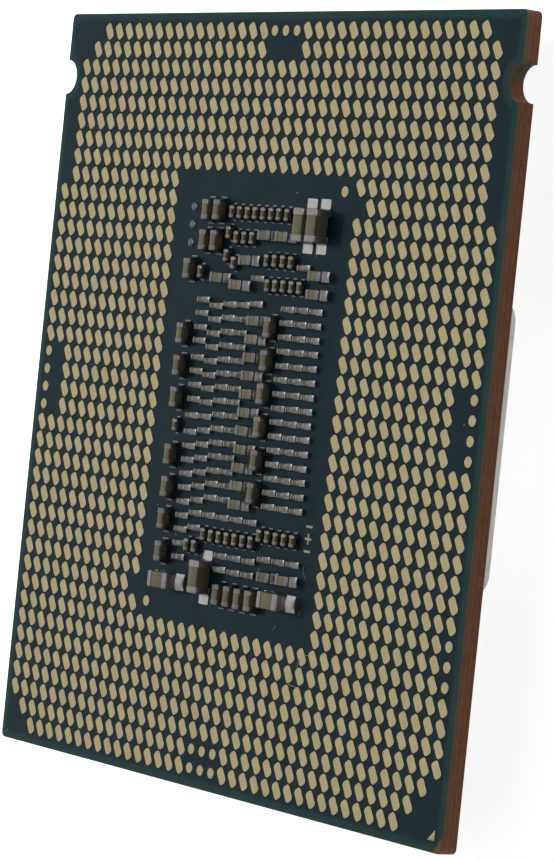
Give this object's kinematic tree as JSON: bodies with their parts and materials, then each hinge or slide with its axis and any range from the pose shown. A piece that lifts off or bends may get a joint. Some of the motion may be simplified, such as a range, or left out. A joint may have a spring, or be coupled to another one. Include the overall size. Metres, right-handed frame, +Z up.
{
  "type": "computer processor",
  "caption": "Square processor package lying on its metal heat spreader, with gold contact lands facing up around a window of small ceramic capacitors.",
  "frame": {"origin": "middle of the heat spreader's flat face, on the surface that the part lies on", "axes": "+Z up through the board to the land face, +Y towards the edge next to the key notches, +X towards the corner triangle's side"},
  "size_m": [0.0376, 0.0376, 0.0052],
  "materials": {
    "board": "satin lacquer over brown laminate",
    "gold": "matt gold plating",
    "capacitor_ceramic": "matt",
    "tin_plate": "satin",
    "solder": "bright",
    "nickel_plate": "satin nickel over copper",
    "sealant": "matt",
    "silicon": "polished",
    "underfill_resin": "matt",
    "thermal_paste": "matt"
  },
  "bodies": {
    "root": {"substrate": "board", "oblong_lands": "gold", "round_lands": "gold", "corner_mark": "gold", "large_capacitor_bodies": "capacitor_ceramic", "large_capacitor_ends": "tin_plate", "large_solder_joints": "solder", "medium_capacitor_bodies": "capacitor_ceramic", "medium_capacitor_ends": "tin_plate", "medium_solder_joints": "solder", "small_capacitor_bodies": "capacitor_ceramic", "small_capacitor_ends": "tin_plate", "small_solder_joints": "solder", "solder_dots": "solder", "heat_spreader": "nickel_plate", "lid_sealant": "sealant", "die": "silicon", "die_bumps": "solder", "underfill": "underfill_resin", "thermal_interface": "thermal_paste"}
  },
  "joints": []
}
